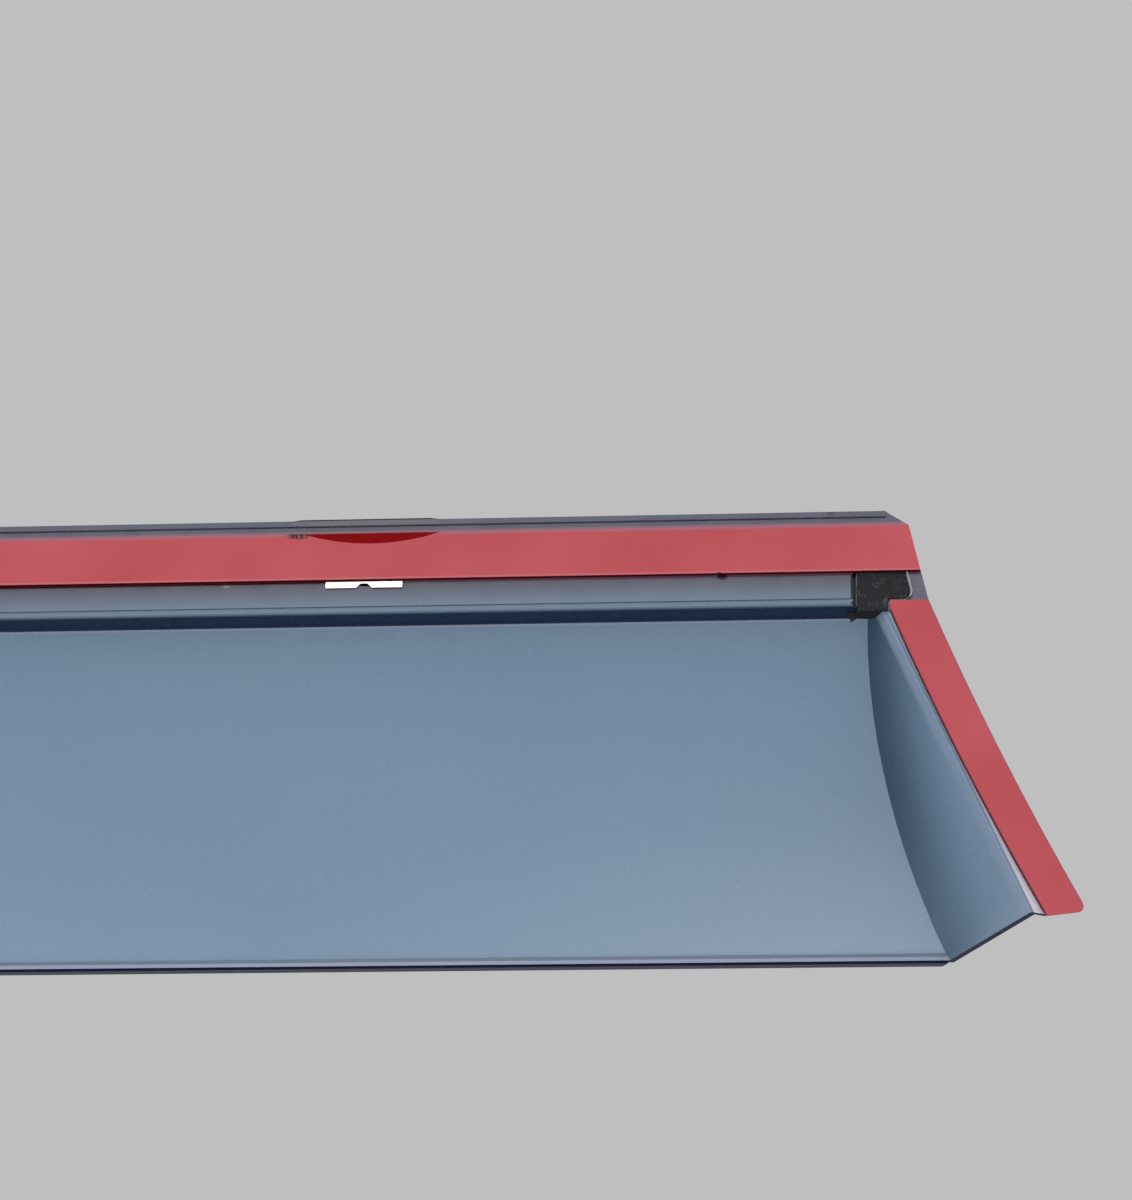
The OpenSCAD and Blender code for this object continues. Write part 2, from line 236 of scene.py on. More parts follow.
def between(tree, value, low, high, to_low=0.0, to_high=1.0):
    """The same as a smooth step."""
    return ranged(tree, value, low, high, to_low, to_high, "SMOOTHSTEP")


def noise_at(tree, place, size_mm, detail=2.0, roughness=0.5):
    """Noise with features of about the given size."""
    noise = add_node(tree, "ShaderNodeTexNoise",
                     {"Vector": place, "Scale": 1 / (size_mm * MM), "Detail": detail,
                      "Roughness": roughness})
    return noise.outputs["Fac"]


def spread(tree, value, low=0.0, high=1.0):
    """Maps 0.3 to 0.7, where most noise lies, to low to high."""
    return ranged(tree, value, 0.3, 0.7, low, high)


def bumped(tree, height, strength, depth_mm):
    """Normal that follows a height."""
    return add_node(tree, "ShaderNodeBump", {"Height": height, "Strength": strength,
                                             "Distance": depth_mm * MM}).outputs["Normal"]


def mixed(tree, factor, first, second, blend="MIX"):
    """Colour mix, whose inputs 0, 6 and 7 are the factor and the two colours or sockets."""
    mix = add_node(tree, "ShaderNodeMix", {0: factor, 6: first, 7: second}, data_type="RGBA",
                   blend_type=blend)
    return mix.outputs[2]


def painted(tree, colour):
    """The colour, with the piece's own painted tints over it."""
    tint = attribute(tree, "tint")
    return mixed(tree, tint["Alpha"], colour, tint["Color"])


def spot(tree, place, centre_mm, half_mm):
    """1 at a place on the part, fading to 0 at the half sizes given."""
    moved = vector_outputs(tree, "SUBTRACT", place, [v * MM for v in centre_mm])[0]
    scaled = vector_outputs(tree, "DIVIDE", moved, [v * MM for v in half_mm])[0]
    return between(tree, vector_outputs(tree, "LENGTH", scaled)["Value"], 1.0, 0.4)


def marked(tree, place, colour, marks):
    """The colour with small marks on it, each a centre and half sizes in mm and a hex colour."""
    for centre_mm, half_mm, mark in marks:
        colour = mixed(tree, spot(tree, place, centre_mm, half_mm), colour, linear(mark))
    return colour


# Mesh helpers


def merged_copy(node):
    """Bmesh of a CAD node with its loose triangles joined and its flat faces whole."""
    bm = bmesh.new()
    bm.from_mesh(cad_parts[node].data)
    bmesh.ops.remove_doubles(bm, verts=bm.verts, dist=0.002 * MM)
    bmesh.ops.dissolve_limit(bm, angle_limit=math.radians(0.4), verts=bm.verts, edges=bm.edges)
    return bm


def soften_edges(bm, width, segments=2, sharper_than=25):
    """Bevels every edge that turns by more than the given angle."""
    limit = math.radians(sharper_than)
    edges = [e for e in bm.edges if len(e.link_faces) == 2 and e.calc_face_angle() > limit]
    bmesh.ops.bevel(bm, geom=edges, offset=width, offset_type="OFFSET", affect="EDGES",
                    segments=segments, profile=0.5, material=-1, clamp_overlap=True)
    bmesh.ops.recalc_face_normals(bm, faces=bm.faces)


def shade(bm, sharper_than=35):
    """Smooth faces with sharp edges where the form turns by more than the given angle."""
    limit = math.radians(sharper_than)
    for face in bm.faces:
        face.smooth = True
    for edge in bm.edges:
        edge.smooth = len(edge.link_faces) == 2 and edge.calc_face_angle() < limit


def cut(bm, point, normal, wanted):
    """Divides the wanted faces along a plane, so that a strip of them can have its own tint."""
    faces = [f for f in bm.faces if wanted(f.calc_center_median(), f.normal)]
    edges = {e for f in faces for e in f.edges}
    verts = {v for f in faces for v in f.verts}
    bmesh.ops.bisect_plane(bm, geom=[*verts, *edges, *faces], dist=1e-7, plane_co=point, plane_no=normal)


def cut_at_height(bm, height, wanted):
    cut(bm, Vector((0, 0, height)), Vector((0, 0, 1)), wanted)


def tint_layers(bm):
    """Corner attributes: tint is a colour and its share, dull is 1 where the surface has no gloss."""
    layers = bm.loops.layers.float_color.new("tint"), bm.loops.layers.float.new("dull")
    paint(bm, layers, "#000000", lambda place, normal: True, share=0.0)
    return layers


def paint(bm, layers, colour, wanted, share=1.0, dull=0.0, low_colour=None):
    """Gives the wanted faces a tint of their own, which can turn to another one down the part."""
    tint, dullness = layers
    high, low = Vector(linear(colour)[:3]), Vector(linear(low_colour or colour)[:3])
    for face in bm.faces:
        if wanted(face.calc_center_median(), face.normal):
            for loop in face.loops:
                down = min(max((Z_STEP - loop.vert.co.z) / (Z_STEP - Z_LIP), 0.0), 1.0)
                loop[tint] = (*high.lerp(low, down ** 3), share)
                loop[dullness] = dull


def from_side_edge(place):
    """Distance from the outer edge of the side flange, less than 0 on the flange."""
    return ((abs(place.x) - SIDE_X) * math.cos(SIDE_ANGLE)
            + (place.z - Z_LIP) * math.sin(SIDE_ANGLE))


def front(normal):
    return normal.y < -0.9


def back(normal):
    return normal.y > 0.9


def underside(normal):
    return normal.z < -0.9


def linked(name, data):
    """A new object in the scene."""
    made = bpy.data.objects.new(name, data)
    bpy.context.scene.collection.objects.link(made)
    return made


def finished_piece(bm, name, material, stands_for):
    """Makes the bmesh an object that rides on the body and stands for its CAD node."""
    mesh = bpy.data.meshes.new(name)
    bm.to_mesh(mesh)
    bm.free()
    piece = linked(name, mesh)
    piece.data.materials.append(material)
    piece.modifiers.new("flat_faces_stay_flat", "WEIGHTED_NORMAL").keep_sharp = True
    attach(piece, BODY)
    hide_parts(stands_for)
    return piece


# Materials


def smoked_acrylic(settings):
    """Moulded clear acrylic with a smoke-blue tint.

    To the eye it is a soft satin blue where it is seen face on, with painted shade deeper in the corners,
    greyer on the flange that the tape lies on and darker and redder towards the tape with painted shade and
    a painted reflection of its red, and navy where one looks along its wall, with painted shade on the
    undersides.
    """
    material, tree = new_material("smoked_blue_acrylic")
    place = object_place(tree)
    height = parts_of(tree, place)["Z"]
    cloud = spread(tree, noise_at(tree, place, 70, 3))
    plain = mixed(tree, cloud, linear(settings.face_tint), linear(settings.face_tint_light))
    shaded = mixed(tree, panel_shade(tree, height), plain, linear(settings.low_shade), blend="MULTIPLY")
    # Painted light: the panel is paler low down near its ends
    face = mixed(tree, low_end(tree, place), shaded, linear(settings.face_tint_backlit))
    # Painted shade: the cheeks turn darker where they meet the panel
    deep = mixed(tree, corner_shade_share(tree, place), face, linear(settings.corner_shade_tint))
    # Painted highlight on the cheeks beside their fold
    below = mixed(tree, fold_light(tree, place), deep, linear(settings.fold_highlight_tint))
    # Painted shade and a painted reflection of the tape's red: the band turns darker and redder up to the
    # tape
    band = mixed(tree, between(tree, height, Z_STEP, Z_TAPE_LOW),
                 linear(settings.band_tint), linear(settings.band_tape_shade_tint))
    flange = mixed(tree, between(tree, height, Z_TAPE_LOW, Z_TAPE_HIGH), band, linear(settings.rim_tint))
    whole = mixed(tree, between(tree, height, Z_STEP, Z_BAND), below, flange)
    # The speck and the nick on the rim are real dark marks in the slot's colour
    worn = marked(tree, place, painted(tree, whole), (
        (*SPECK, settings.nick_and_shade_tint), (*RIM_NICK, settings.nick_and_shade_tint),
        (*FLECK, settings.fleck), (*FLANGE_NICK, settings.dirt)))
    dull = calculated(tree, "MAXIMUM", attribute(tree, "dull")["Fac"], spot(tree, place, *FLANGE_NICK))
    scuffs = spread(tree, noise_at(tree, place, 6, 4), settings.roughness * 0.8, settings.roughness * 1.2)
    return surfaced(material, {
        "Base Color": worn, "Roughness": scuffs, "IOR": 1.49,
        "Specular IOR Level": ranged(tree, dull, 0.0, 1.0, 0.5, 0.0),
        "Transmission Weight": settings.clearness,
        "Normal": bumped(tree, noise_at(tree, place, 14, 2), 0.06, 0.3)})


def on_cheek(tree):
    """1 on the cheeks, else 0."""
    return attribute(tree, "cheek")["Fac"]


def down_panel(tree, height):
    """0 at the top of the panel, 1 at its lip, and 0 on the cheeks."""
    return times(tree, between(tree, height, Z_STEP, Z_LIP), between(tree, on_cheek(tree), 1.0, 0.0))


def panel_shade(tree, height):
    """0 at the top of the panel, 1 at its lip, and in between on the cheeks."""
    return calculated(tree, "MULTIPLY_ADD", on_cheek(tree), 0.5, down_panel(tree, height))


def low_end(tree, place):
    """1 on the panel low down near its ends, where more light gets behind it, fading to 0."""
    x, _, z = parts_of(tree, place)
    out = between(tree, calculated(tree, "ABSOLUTE", x), PALE_FROM, PALE_TO)
    return times(tree, out, down_panel(tree, z))


def fold_light(tree, place):
    """1 on the strip of the cheeks beside their fold, which gets a painted highlight, else 0."""
    near = between(tree, parts_of(tree, place)["Y"], Y_LIGHT_GONE, Y_LIGHT_FULL)
    return times(tree, on_cheek(tree), near)


def corner_shade_share(tree, place):
    """Share of the painted shade on the cheeks: 1 where they meet the panel, fading to 0 away from it, and 0
    elsewhere.
    """
    _, y, z = parts_of(tree, place)
    rise = calculated(tree, "SUBTRACT", z, Z_CROWN)
    rest = calculated(tree, "SUBTRACT", ARC_RADIUS ** 2, calculated(tree, "POWER", rise, 2.0))
    past = calculated(tree, "SUBTRACT", y, calculated(tree, "SQRT", rest))
    away = between(tree, past, ARC_Y - FADE, ARC_Y)
    lower = between(tree, z, Z_LIP, Z_LIP + FULL_HEIGHT, LIP_SHARE, 1.0)
    return times(tree, on_cheek(tree), times(tree, away, lower))


def release_film(settings):
    """Siliconed polyester film, die-cut with its tape.

    To the eye it is a satin coral red with a soft waver from the roll and paler cut edges.
    """
    material, tree = new_material("coral_release_film")
    place = object_place(tree)
    cloud = spread(tree, noise_at(tree, place, 30, 3))
    colour = mixed(tree, cloud, linear(settings.film), linear(settings.film_light))
    edged = mixed(tree, inner_edge(tree, place), painted(tree, colour), linear(settings.film_shade))
    ragged = between(tree, noise_at(tree, place, 0.7, 4, 0.7), 0.38, 0.47)
    smudged = marked(tree, place, edged, [(*smudge, settings.dirt) for smudge in SMUDGES])
    torn = mixed(tree, ragged, edged, smudged)
    return surfaced(material, {
        "Base Color": marked(tree, place, torn, ((*FILM_NICK, settings.dirt),)),
        "Roughness": 0.5, "IOR": 1.5, "Specular IOR Level": 0.25,
        "Normal": bumped(tree, noise_at(tree, place, 9, 1), 0.12, 0.2)})


def inner_edge(tree, place):
    """1 along the inner edge of the side films, fading to 0 away from it, and 0 on the top film."""
    mirrored = vector_outputs(tree, "ABSOLUTE", place)[0]
    across = (math.cos(SIDE_ANGLE), 0, -math.sin(SIDE_ANGLE))
    reach = vector_outputs(tree, "DOT_PRODUCT", mirrored, across)["Value"]
    height = parts_of(tree, place)["Z"]
    along = ranged(tree, height, Z_LIP, Z_KNEE, -1.0, 1.0)
    bow = SIDE_BOW * math.cos(SIDE_ANGLE)
    bowed = calculated(tree, "MULTIPLY_ADD", times(tree, along, along), -bow, reach)
    edge = SIDE_X * math.cos(SIDE_ANGLE) + Z_LIP * math.sin(SIDE_ANGLE) - SIDE_TAPE_IN - bow
    near = between(tree, bowed, edge + 0.5 * MM, edge + 0.15 * MM)
    return times(tree, near, between(tree, height, Z_KNEE + 2 * MM, Z_KNEE + MM))


def bonding_tape(settings):
    """Closed-cell acrylic foam tape.

    To the eye its adhesive face is a deep wet red, and its fine-celled cut sides are painted nearly black
    with painted shade.
    """
    material, tree = new_material("deep_red_foam_tape")
    cells = noise_at(tree, object_place(tree), 0.4, 2)
    colour = mixed(tree, spread(tree, cells), linear(settings.tape), linear(settings.tape_dark))
    return surfaced(material, {
        "Base Color": painted(tree, colour), "Roughness": 0.55, "IOR": 1.48,
        "Specular IOR Level": 0.04, "Normal": bumped(tree, cells, 0.2, 0.1)})


def open_foam(settings):
    """Open-cell polyurethane foam, cut from sheet.

    To the eye it is matt black with cells of about half a millimetre, painted darker inside as painted
    shade, and a few greyer torn walls.
    """
    material, tree = new_material("black_open_cell_foam")
    place = object_place(tree)
    cells = add_node(tree, "ShaderNodeTexVoronoi", {"Vector": place, "Scale": 1 / (0.7 * MM)},
                     feature="DISTANCE_TO_EDGE").outputs["Distance"]
    walls = ranged(tree, cells, 0.0, 0.25, 1.0, 0.0)
    torn = between(tree, noise_at(tree, place, 1.6, 3), 0.55, 0.68)
    wall = mixed(tree, torn, linear(settings.foam), linear(settings.foam_torn))
    return surfaced(material, {
        "Base Color": mixed(tree, walls, linear(settings.foam_pore_shade), wall), "Roughness": 0.85,
        "Normal": bumped(tree, walls, 0.7, 0.3)})


def stainless_sheet(settings):
    """Cold-rolled stainless sheet.

    To the eye it is bright satin metal with faint rolling lines along the clip.
    """
    material, tree = new_material("rolled_stainless_sheet")
    along = add_node(tree, "ShaderNodeMapping", {"Vector": object_place(tree), "Scale": (0.05, 1.0, 1.0)})
    lines = noise_at(tree, along.outputs["Vector"], 0.25, 2)
    return surfaced(material, {"Base Color": linear(settings.steel), "Metallic": 1.0,
                               "Roughness": spread(tree, lines, 0.22, 0.34)})


def pale_floor(settings):
    """Matt floor paint, rolled on: plain and pale, it keeps the part's shadow."""
    material, tree = new_material("pale_matt_floor")
    mottle = spread(tree, noise_at(tree, object_place(tree), 400, 2))
    colour = mixed(tree, mottle, linear(settings.floor), linear(settings.floor_light))
    return surfaced(material, {"Base Color": colour, "Roughness": 0.8})


# Settings that a user would change


class DeflectorSettings(bpy.types.PropertyGroup):
    """Sizes and colours of the deflector"""

    face_tint: bpy.props.StringProperty(name="Face tint", default="#99B7D7",
                                        description="Acrylic seen face on")
    face_tint_light: bpy.props.StringProperty(name="Lighter face tint", default="#9EBBD8",
                                              description="Acrylic where it clouds lighter")
    low_shade: bpy.props.StringProperty(name="Low shade", default="#EAECED",
                                        description="Shade of the panel at its lip")
    # Painted light on the panel low down near its ends
    face_tint_backlit: bpy.props.StringProperty(name="Paler face tint", default="#A5BCD6",
                                             description="Acrylic of the panel low down at its ends")
    # Painted shade on the cheeks where they meet the panel
    corner_shade_tint: bpy.props.StringProperty(name="Corner tint", default="#48637F",
                                          description="Acrylic of the cheeks where they meet the panel")
    # Painted highlight on the cheeks beside their fold
    fold_highlight_tint: bpy.props.StringProperty(name="Fold tint", default="#A6BCD6",
                                        description="Acrylic of the cheeks beside their fold")
    band_tint: bpy.props.StringProperty(name="Band tint", default="#6B89A2",
                                        description="Acrylic of the top flange at the step")
    # Painted shade with a painted reflection of the tape's red, on the band at the tape
    band_tape_shade_tint: bpy.props.StringProperty(name="Upper band tint", default="#4C4861",
                                             description="Acrylic of the top flange at the tape")
    # Painted light on the groove's downward wall, so that it shows less shade
    groove_lit_tint: bpy.props.StringProperty(name="Groove tint", default="#A9BDD0",
                                          description="Upper wall of the groove along the band")
    rim_tint: bpy.props.StringProperty(name="Rim tint", default="#494C67",
                                       description="Acrylic of the top flange above the tape")
    # Painted light on the shaded underside of the bead on the rim
    rim_groove_lit_tint: bpy.props.StringProperty(name="Rim groove tint", default="#B0ACC0",
                                              description="Shaded underside of the bead on the rim")
    # Painted highlight on the bare flange beside the side tapes, brighter towards the lip
    bare_flange_highlight: bpy.props.StringProperty(name="Bare flange tint", default="#FAF0FC",
                                        description="Flange left bare beside the side tapes")
    # Painted highlight beside the side tapes, towards the step
    bare_flange_highlight_high: bpy.props.StringProperty(name="Upper bare flange tint", default="#A9B3D6",
                                             description="The same towards the step")
    seat_tint: bpy.props.StringProperty(name="Seat tint", default="#645C6A",
                                        description="Raised seats on the rim in front of the clips")
    # Painted highlight on the rib round the corner foam
    rib_highlight_tint: bpy.props.StringProperty(name="Rib tint", default="#B4ACBE",
                                       description="Upright part of the rib round the corner foam")
    # Painted reflection of the film's red on the flange above the tape
    film_red_reflection_tint: bpy.props.StringProperty(name="Glow tint", default="#AB607E",
                                        description="Flange beside the tape, with the film's red in it")
    corner_flange_tint: bpy.props.StringProperty(name="Corner flange tint", default="#5E5870",
                                                 description="Flange outside the corner foam")
    # Painted shade, with the dark look of acrylic seen along its wall, on the undersides of the lip and
    # cheeks
    lip_under_shade_tint: bpy.props.StringProperty(name="Lip underside tint", default="#21284E",
                                             description="Undersides of the lip and of the cheeks")
    margin_tint: bpy.props.StringProperty(name="Margin tint", default="#6E6884",
                                          description="Outer margin of the side flanges")
    # Painted highlight on the panel below the step's painted shadow
    brow_highlight_tint: bpy.props.StringProperty(name="Brow tint", default="#B8C7E5",
                                        description="Bright line of the panel under the step's shadow")
    # Painted highlight on the lip's inner face, and painted shade in the crease above it
    lip_highlight_tint: bpy.props.StringProperty(name="Lip tint", default="#A4B1CC",
                                       description="Inner face of the thickened lip")
    lip_crease_shade_tint: bpy.props.StringProperty(name="Lip crease tint", default="#6C8097",
                                              description="Crease above the lip")
    # Painted shade on the bead's underside, lighter than the lip's with a painted reflection of its
    # surroundings
    lip_edge_shade_tint: bpy.props.StringProperty(name="Lip edge tint", default="#55586B",
                                            description="Underside of the bead outside the lip")
    # Painted shade and the dark look of acrylic seen along its wall: undersides, the step's shadow on the
    # panel, the folds and the rim's top
    edge_and_shade_tint: bpy.props.StringProperty(name="Edge tint", default="#243859",
                                        description="Acrylic seen along its wall, at cut edges")
    # Painted shade in the slot beside the foam, under the foam and at the foot of its rib; also the seats'
    # dark tops and the real speck and nick
    nick_and_shade_tint: bpy.props.StringProperty(name="Slot tint", default="#0B0D14",
                                        description="Slot beside the foam, which light hardly reaches")
    clearness: bpy.props.FloatProperty(name="Clearness", default=0.3, min=0.0, max=1.0,
                                       description="Share of light that the acrylic lets through")
    roughness: bpy.props.FloatProperty(name="Roughness", default=0.25, min=0.02, max=1.0,
                                       description="Roughness of the acrylic's moulded skin")
    edge_round: bpy.props.FloatProperty(name="Edge rounding", default=0.25 * MM, unit="LENGTH",
                                        description="Rounding of the moulded edges")
    film: bpy.props.StringProperty(name="Release film", default="#BC464E",
                                   description="Coral red of the release film")
    film_light: bpy.props.StringProperty(name="Lighter release film", default="#C6545E",
                                         description="Release film where it clouds lighter")
    # Painted highlight along the film's lower edge, with the paler look of its cut edge
    film_edge_highlight: bpy.props.StringProperty(name="Film edge", default="#C8686F",
                                        description="Paler cut edge of the release film")
    # The top film's upper brim is painted greyer
    film_brim: bpy.props.StringProperty(name="Film brim", default="#AC6270",
                                        description="Upper brim of the top film, dulled by handling")
    film_shade: bpy.props.StringProperty(name="Film shade", default="#5A2230",
                                         description="Film along the inner edge of the side tapes")
    dirt: bpy.props.StringProperty(name="Dirt", default="#341620",
                                   description="Smudge and nicks on the release film and beside it")
    fleck: bpy.props.StringProperty(name="Fleck", default="#C49A9A",
                                    description="Bright fleck beside the release film")
    tape: bpy.props.StringProperty(name="Tape", default="#8E070D",
                                   description="Adhesive face of the tape")
    tape_dark: bpy.props.StringProperty(name="Darker tape", default="#7A050B",
                                        description="Cells of the tape")
    # Painted shade: the tape's cut sides, and the tape's shadow on the flange below it
    tape_side_shade: bpy.props.StringProperty(name="Tape side", default="#5C0812",
                                        description="Cut sides of the tape")
    foam: bpy.props.StringProperty(name="Foam", default="#26242A", description="Cell walls of the foam")
    foam_torn: bpy.props.StringProperty(name="Torn foam", default="#4E4C54",
                                        description="Torn, greyer cell walls")
    # Painted shade inside the foam's open cells
    foam_pore_shade: bpy.props.StringProperty(name="Foam cells", default="#1B1A1E",
                                        description="Open cells of the foam")
    steel: bpy.props.StringProperty(name="Stainless", default="#E6E4E4", description="Clip sheet")


class StageSettings(bpy.types.PropertyGroup):
    """Camera, light and floor"""

    azimuth: bpy.props.FloatProperty(name="Camera azimuth", default=math.radians(5.2), subtype="ANGLE",
                                     description="Turn of the camera round the part, to the right")
    elevation: bpy.props.FloatProperty(name="Camera elevation", default=math.radians(-21.0),
                                       subtype="ANGLE", description="Angle above the horizon")
    roll: bpy.props.FloatProperty(name="Camera roll", default=math.radians(0.92), subtype="ANGLE",
                                  description="Turn of the camera about its own axis")
    distance: bpy.props.FloatProperty(name="Camera distance", default=1.0767, unit="LENGTH",
                                      description="Distance from the point looked at")
    target: bpy.props.FloatVectorProperty(name="Point looked at", default=(0.174, 0.0, -0.01226),
                                          subtype="XYZ", unit="LENGTH",
                                          description="Middle of the picture on the mounting plane")
    lens: bpy.props.FloatProperty(name="Lens", default=135.0, subtype="DISTANCE_CAMERA",
                                  description="Focal length")
    background: bpy.props.StringProperty(name="Background", default="#BFBFBF",
                                         description="Backdrop as the camera sees it")
    floor: bpy.props.StringProperty(name="Floor", default="#C4C4C4", description="Floor paint")
    floor_light: bpy.props.StringProperty(name="Lighter floor", default="#C8C8C8",
                                          description="Floor paint where it is lighter")
    floor_drop: bpy.props.FloatProperty(name="Floor drop", default=1.6, unit="LENGTH",
                                        description="Distance of the floor below the part")
    sky: bpy.props.FloatProperty(name="Sky light", default=0.85, min=0.0,
                                 description="Strength of the light from all round")
    key: bpy.props.FloatProperty(name="Key light", default=12.6, min=0.0, subtype="POWER",
                                 description="Power of the large lamp in front")


# Operators, one for each group of like pieces


class DEFLECTOR_OT_hood(bpy.types.Operator):
    """Moulded hood with softened edges"""

    bl_idname = "deflector.hood"
    bl_label = "Hood"

    def execute(self, context):
        settings = context.scene.deflector
        bm = merged_copy("hood")
        divide_hood(bm)
        soften_edges(bm, settings.edge_round)
        shade(bm)
        tint_hood(bm, settings)
        finished_piece(bm, "moulded_hood", smoked_acrylic(settings), "hood")
        return {"FINISHED"}


def at_band(place):
    return Z_STEP < place.z < Z_TAPE_LOW


def on_flange_face(place, normal):
    return front(normal) and abs(place.y - Y_FLANGE) < CLOSE


def on_bead_face(place, normal):
    return front(normal) and place.z > Z_TAPE_HIGH and place.y < Y_RAISED


def on_rib_face(place, normal):
    return front(normal) and place.z < Z_TAPE_LOW and place.y < Y_RAISED


def on_lip_face(place, normal):
    return normal.y < -0.8 and place.z < Z_CREASE_HIGH and place.y > Y_NEAR_LIP


def divide_hood(bm):
    """Cuts the plain faces of the hood where its tints change."""
    for height in (Z_GLOW, Z_CONTACT, Z_SLOT):
        cut_at_height(bm, height, on_flange_face)
    cut_at_height(bm, Z_RIB_LOW, on_rib_face)
    for height in (Z_TAPE_LOW, Z_TAPE_HIGH):
        cut_at_height(bm, height, lambda place, normal: back(normal))
    for height in (Z_BROW, Z_BRIGHT, Z_CREASE_LOW):
        cut_at_height(bm, height, lambda place, normal: place.z < Z_STEP)
    cut_at_height(bm, Z_RIM, lambda place, normal: front(normal) and place.z > Z_TAPE_HIGH)
    for edge in (-SHADOW_X, SHADOW_X):
        cut(bm, Vector((edge, 0, 0)), Vector((1, 0, 0)),
            lambda place, normal: on_flange_face(place, normal) and at_band(place))
    for edge in (-SEAT_OUT, -SEAT_IN, SEAT_IN, SEAT_OUT):
        cut(bm, Vector((edge, 0, 0)), Vector((1, 0, 0)), on_bead_face)
    for side in (-1, 1):
        slope = Vector((side * math.cos(SIDE_ANGLE), 0, math.sin(SIDE_ANGLE)))
        middle = Vector((side * SIDE_X, 0, Z_LIP)) - slope * SIDE_TAPE_IN / 2
        cut(bm, middle, slope,
            lambda place, normal: on_flange_face(place, normal) and place.x * side > 0 and place.z < Z_STEP)


def mark_cheeks(bm):
    """Corner attribute: cheek is 1 on the leaning cheeks, else 0."""
    cheek = bm.loops.layers.float.new("cheek")
    for face in bm.faces:
        leaning = 0.5 < abs(face.normal.x) and face.calc_center_median().z < Z_STEP
        for loop in face.loops:
            loop[cheek] = 1.0 if leaning else 0.0


def tint_hood(bm, settings):
    """Paints the small faces whose depth of colour differs from the faces round them, most of it painted
    shade and painted highlights.
    """
    layers = tint_layers(bm)
    mark_cheeks(bm)
    tint_flanges(bm, layers, settings)
    tint_panel(bm, layers, settings)
    tint_edges(bm, layers, settings)


def tint_flanges(bm, layers, settings):
    """Top flange with its band, slots and groove, and the side flanges: painted shade under the tape and in
    the slots, a painted reflection of the film's red above the tape, painted light on the groove and painted
    highlights beside the side tapes.
    """
    # Painted shadow of the tape on the flange just below it
    paint(bm, layers, settings.tape_side_shade, dull=1.0,
          wanted=lambda p, n: on_flange_face(p, n) and Z_CONTACT < p.z < Z_TAPE_LOW)
    paint(bm, layers, settings.seat_tint,
          wanted=lambda p, n: on_bead_face(p, n) and SEAT_IN < abs(p.x) < SEAT_OUT)
    # Painted shade on the flange under the foam
    paint(bm, layers, settings.nick_and_shade_tint, dull=1.0,
          wanted=lambda p, n: on_flange_face(p, n) and Z_SLOT < p.z < Z_TAPE_LOW
          and SLOT_X < abs(p.x) < CORNER_X)
    # Painted shadow of the foam's slot on the band
    paint(bm, layers, settings.nick_and_shade_tint, share=0.8, dull=1.0,
          wanted=lambda p, n: on_flange_face(p, n) and at_band(p) and SHADOW_X < abs(p.x) < SLOT_X)
    # Painted reflection of the film's red above the tape
    paint(bm, layers, settings.film_red_reflection_tint, share=0.7,
          wanted=lambda p, n: on_flange_face(p, n) and Z_TAPE_LOW < p.z < Z_GLOW)
    paint(bm, layers, settings.corner_flange_tint,
          wanted=lambda p, n: on_flange_face(p, n) and at_band(p) and abs(p.x) > CORNER_X)
    # Painted light on the groove's downward wall
    paint(bm, layers, settings.groove_lit_tint, share=0.8,
          wanted=lambda p, n: n.z < -0.3 and Z_GROOVE_LOW < p.z < Z_GROOVE_HIGH
          and p.y > Y_FLANGE - 0.05 * MM)
    paint(bm, layers, settings.tape_dark, share=0.5,
          wanted=lambda p, n: back(n) and Z_TAPE_LOW < p.z < Z_TAPE_HIGH)
    # Painted highlight on the bare flange beside the side tapes
    paint(bm, layers, settings.bare_flange_highlight_high, low_colour=settings.bare_flange_highlight,
          wanted=lambda p, n: on_flange_face(p, n) and p.z < Z_STEP
          and from_side_edge(p) < -SIDE_TAPE_IN / 2)
    paint(bm, layers, settings.margin_tint, dull=1.0,
          wanted=lambda p, n: on_flange_face(p, n) and p.z < Z_STEP
          and from_side_edge(p) > -SIDE_TAPE_IN / 2)


def tint_panel(bm, layers, settings):
    """Folds of the cheeks with painted shade, the top of the panel under the step with its painted shadow
    and a painted highlight, and the lip's inner face with a painted highlight and painted shade in the
    crease above it.
    """
    # Painted shade along the folds of the cheeks
    paint(bm, layers, settings.edge_and_shade_tint, share=0.3, dull=0.3,
          wanted=lambda p, n: n.y < -0.5 and 0.1 < abs(n.x) < 0.45 and p.z < Z_STEP and p.y < Y_FOLD)
    # Painted highlight on the panel just below the step's painted shadow
    paint(bm, layers, settings.brow_highlight_tint,
          wanted=lambda p, n: n.y < -0.6 and Z_BRIGHT < p.z < Z_BROW and p.y > Y_PANEL)
    # Painted shadow of the step on the top of the panel
    paint(bm, layers, settings.edge_and_shade_tint, dull=1.0,
          wanted=lambda p, n: n.y < -0.6 and Z_BROW < p.z < Z_STEP and p.y > Y_PANEL)
    # Painted shade on the edge where the band turns into the step's underside
    paint(bm, layers, settings.edge_and_shade_tint, share=0.8, dull=0.8,
          wanted=lambda p, n: -0.95 < n.z < -0.55 and n.y < -0.2 and Z_STEP < p.z < Z_STEP + MM)
    # Painted shade in the crease above the lip, and a painted highlight on the lip's inner face
    paint(bm, layers, settings.lip_crease_shade_tint,
          wanted=lambda p, n: on_lip_face(p, n) and p.z > Z_CREASE_LOW)
    paint(bm, layers, settings.lip_highlight_tint,
          wanted=lambda p, n: on_lip_face(p, n) and p.z < Z_CREASE_LOW)


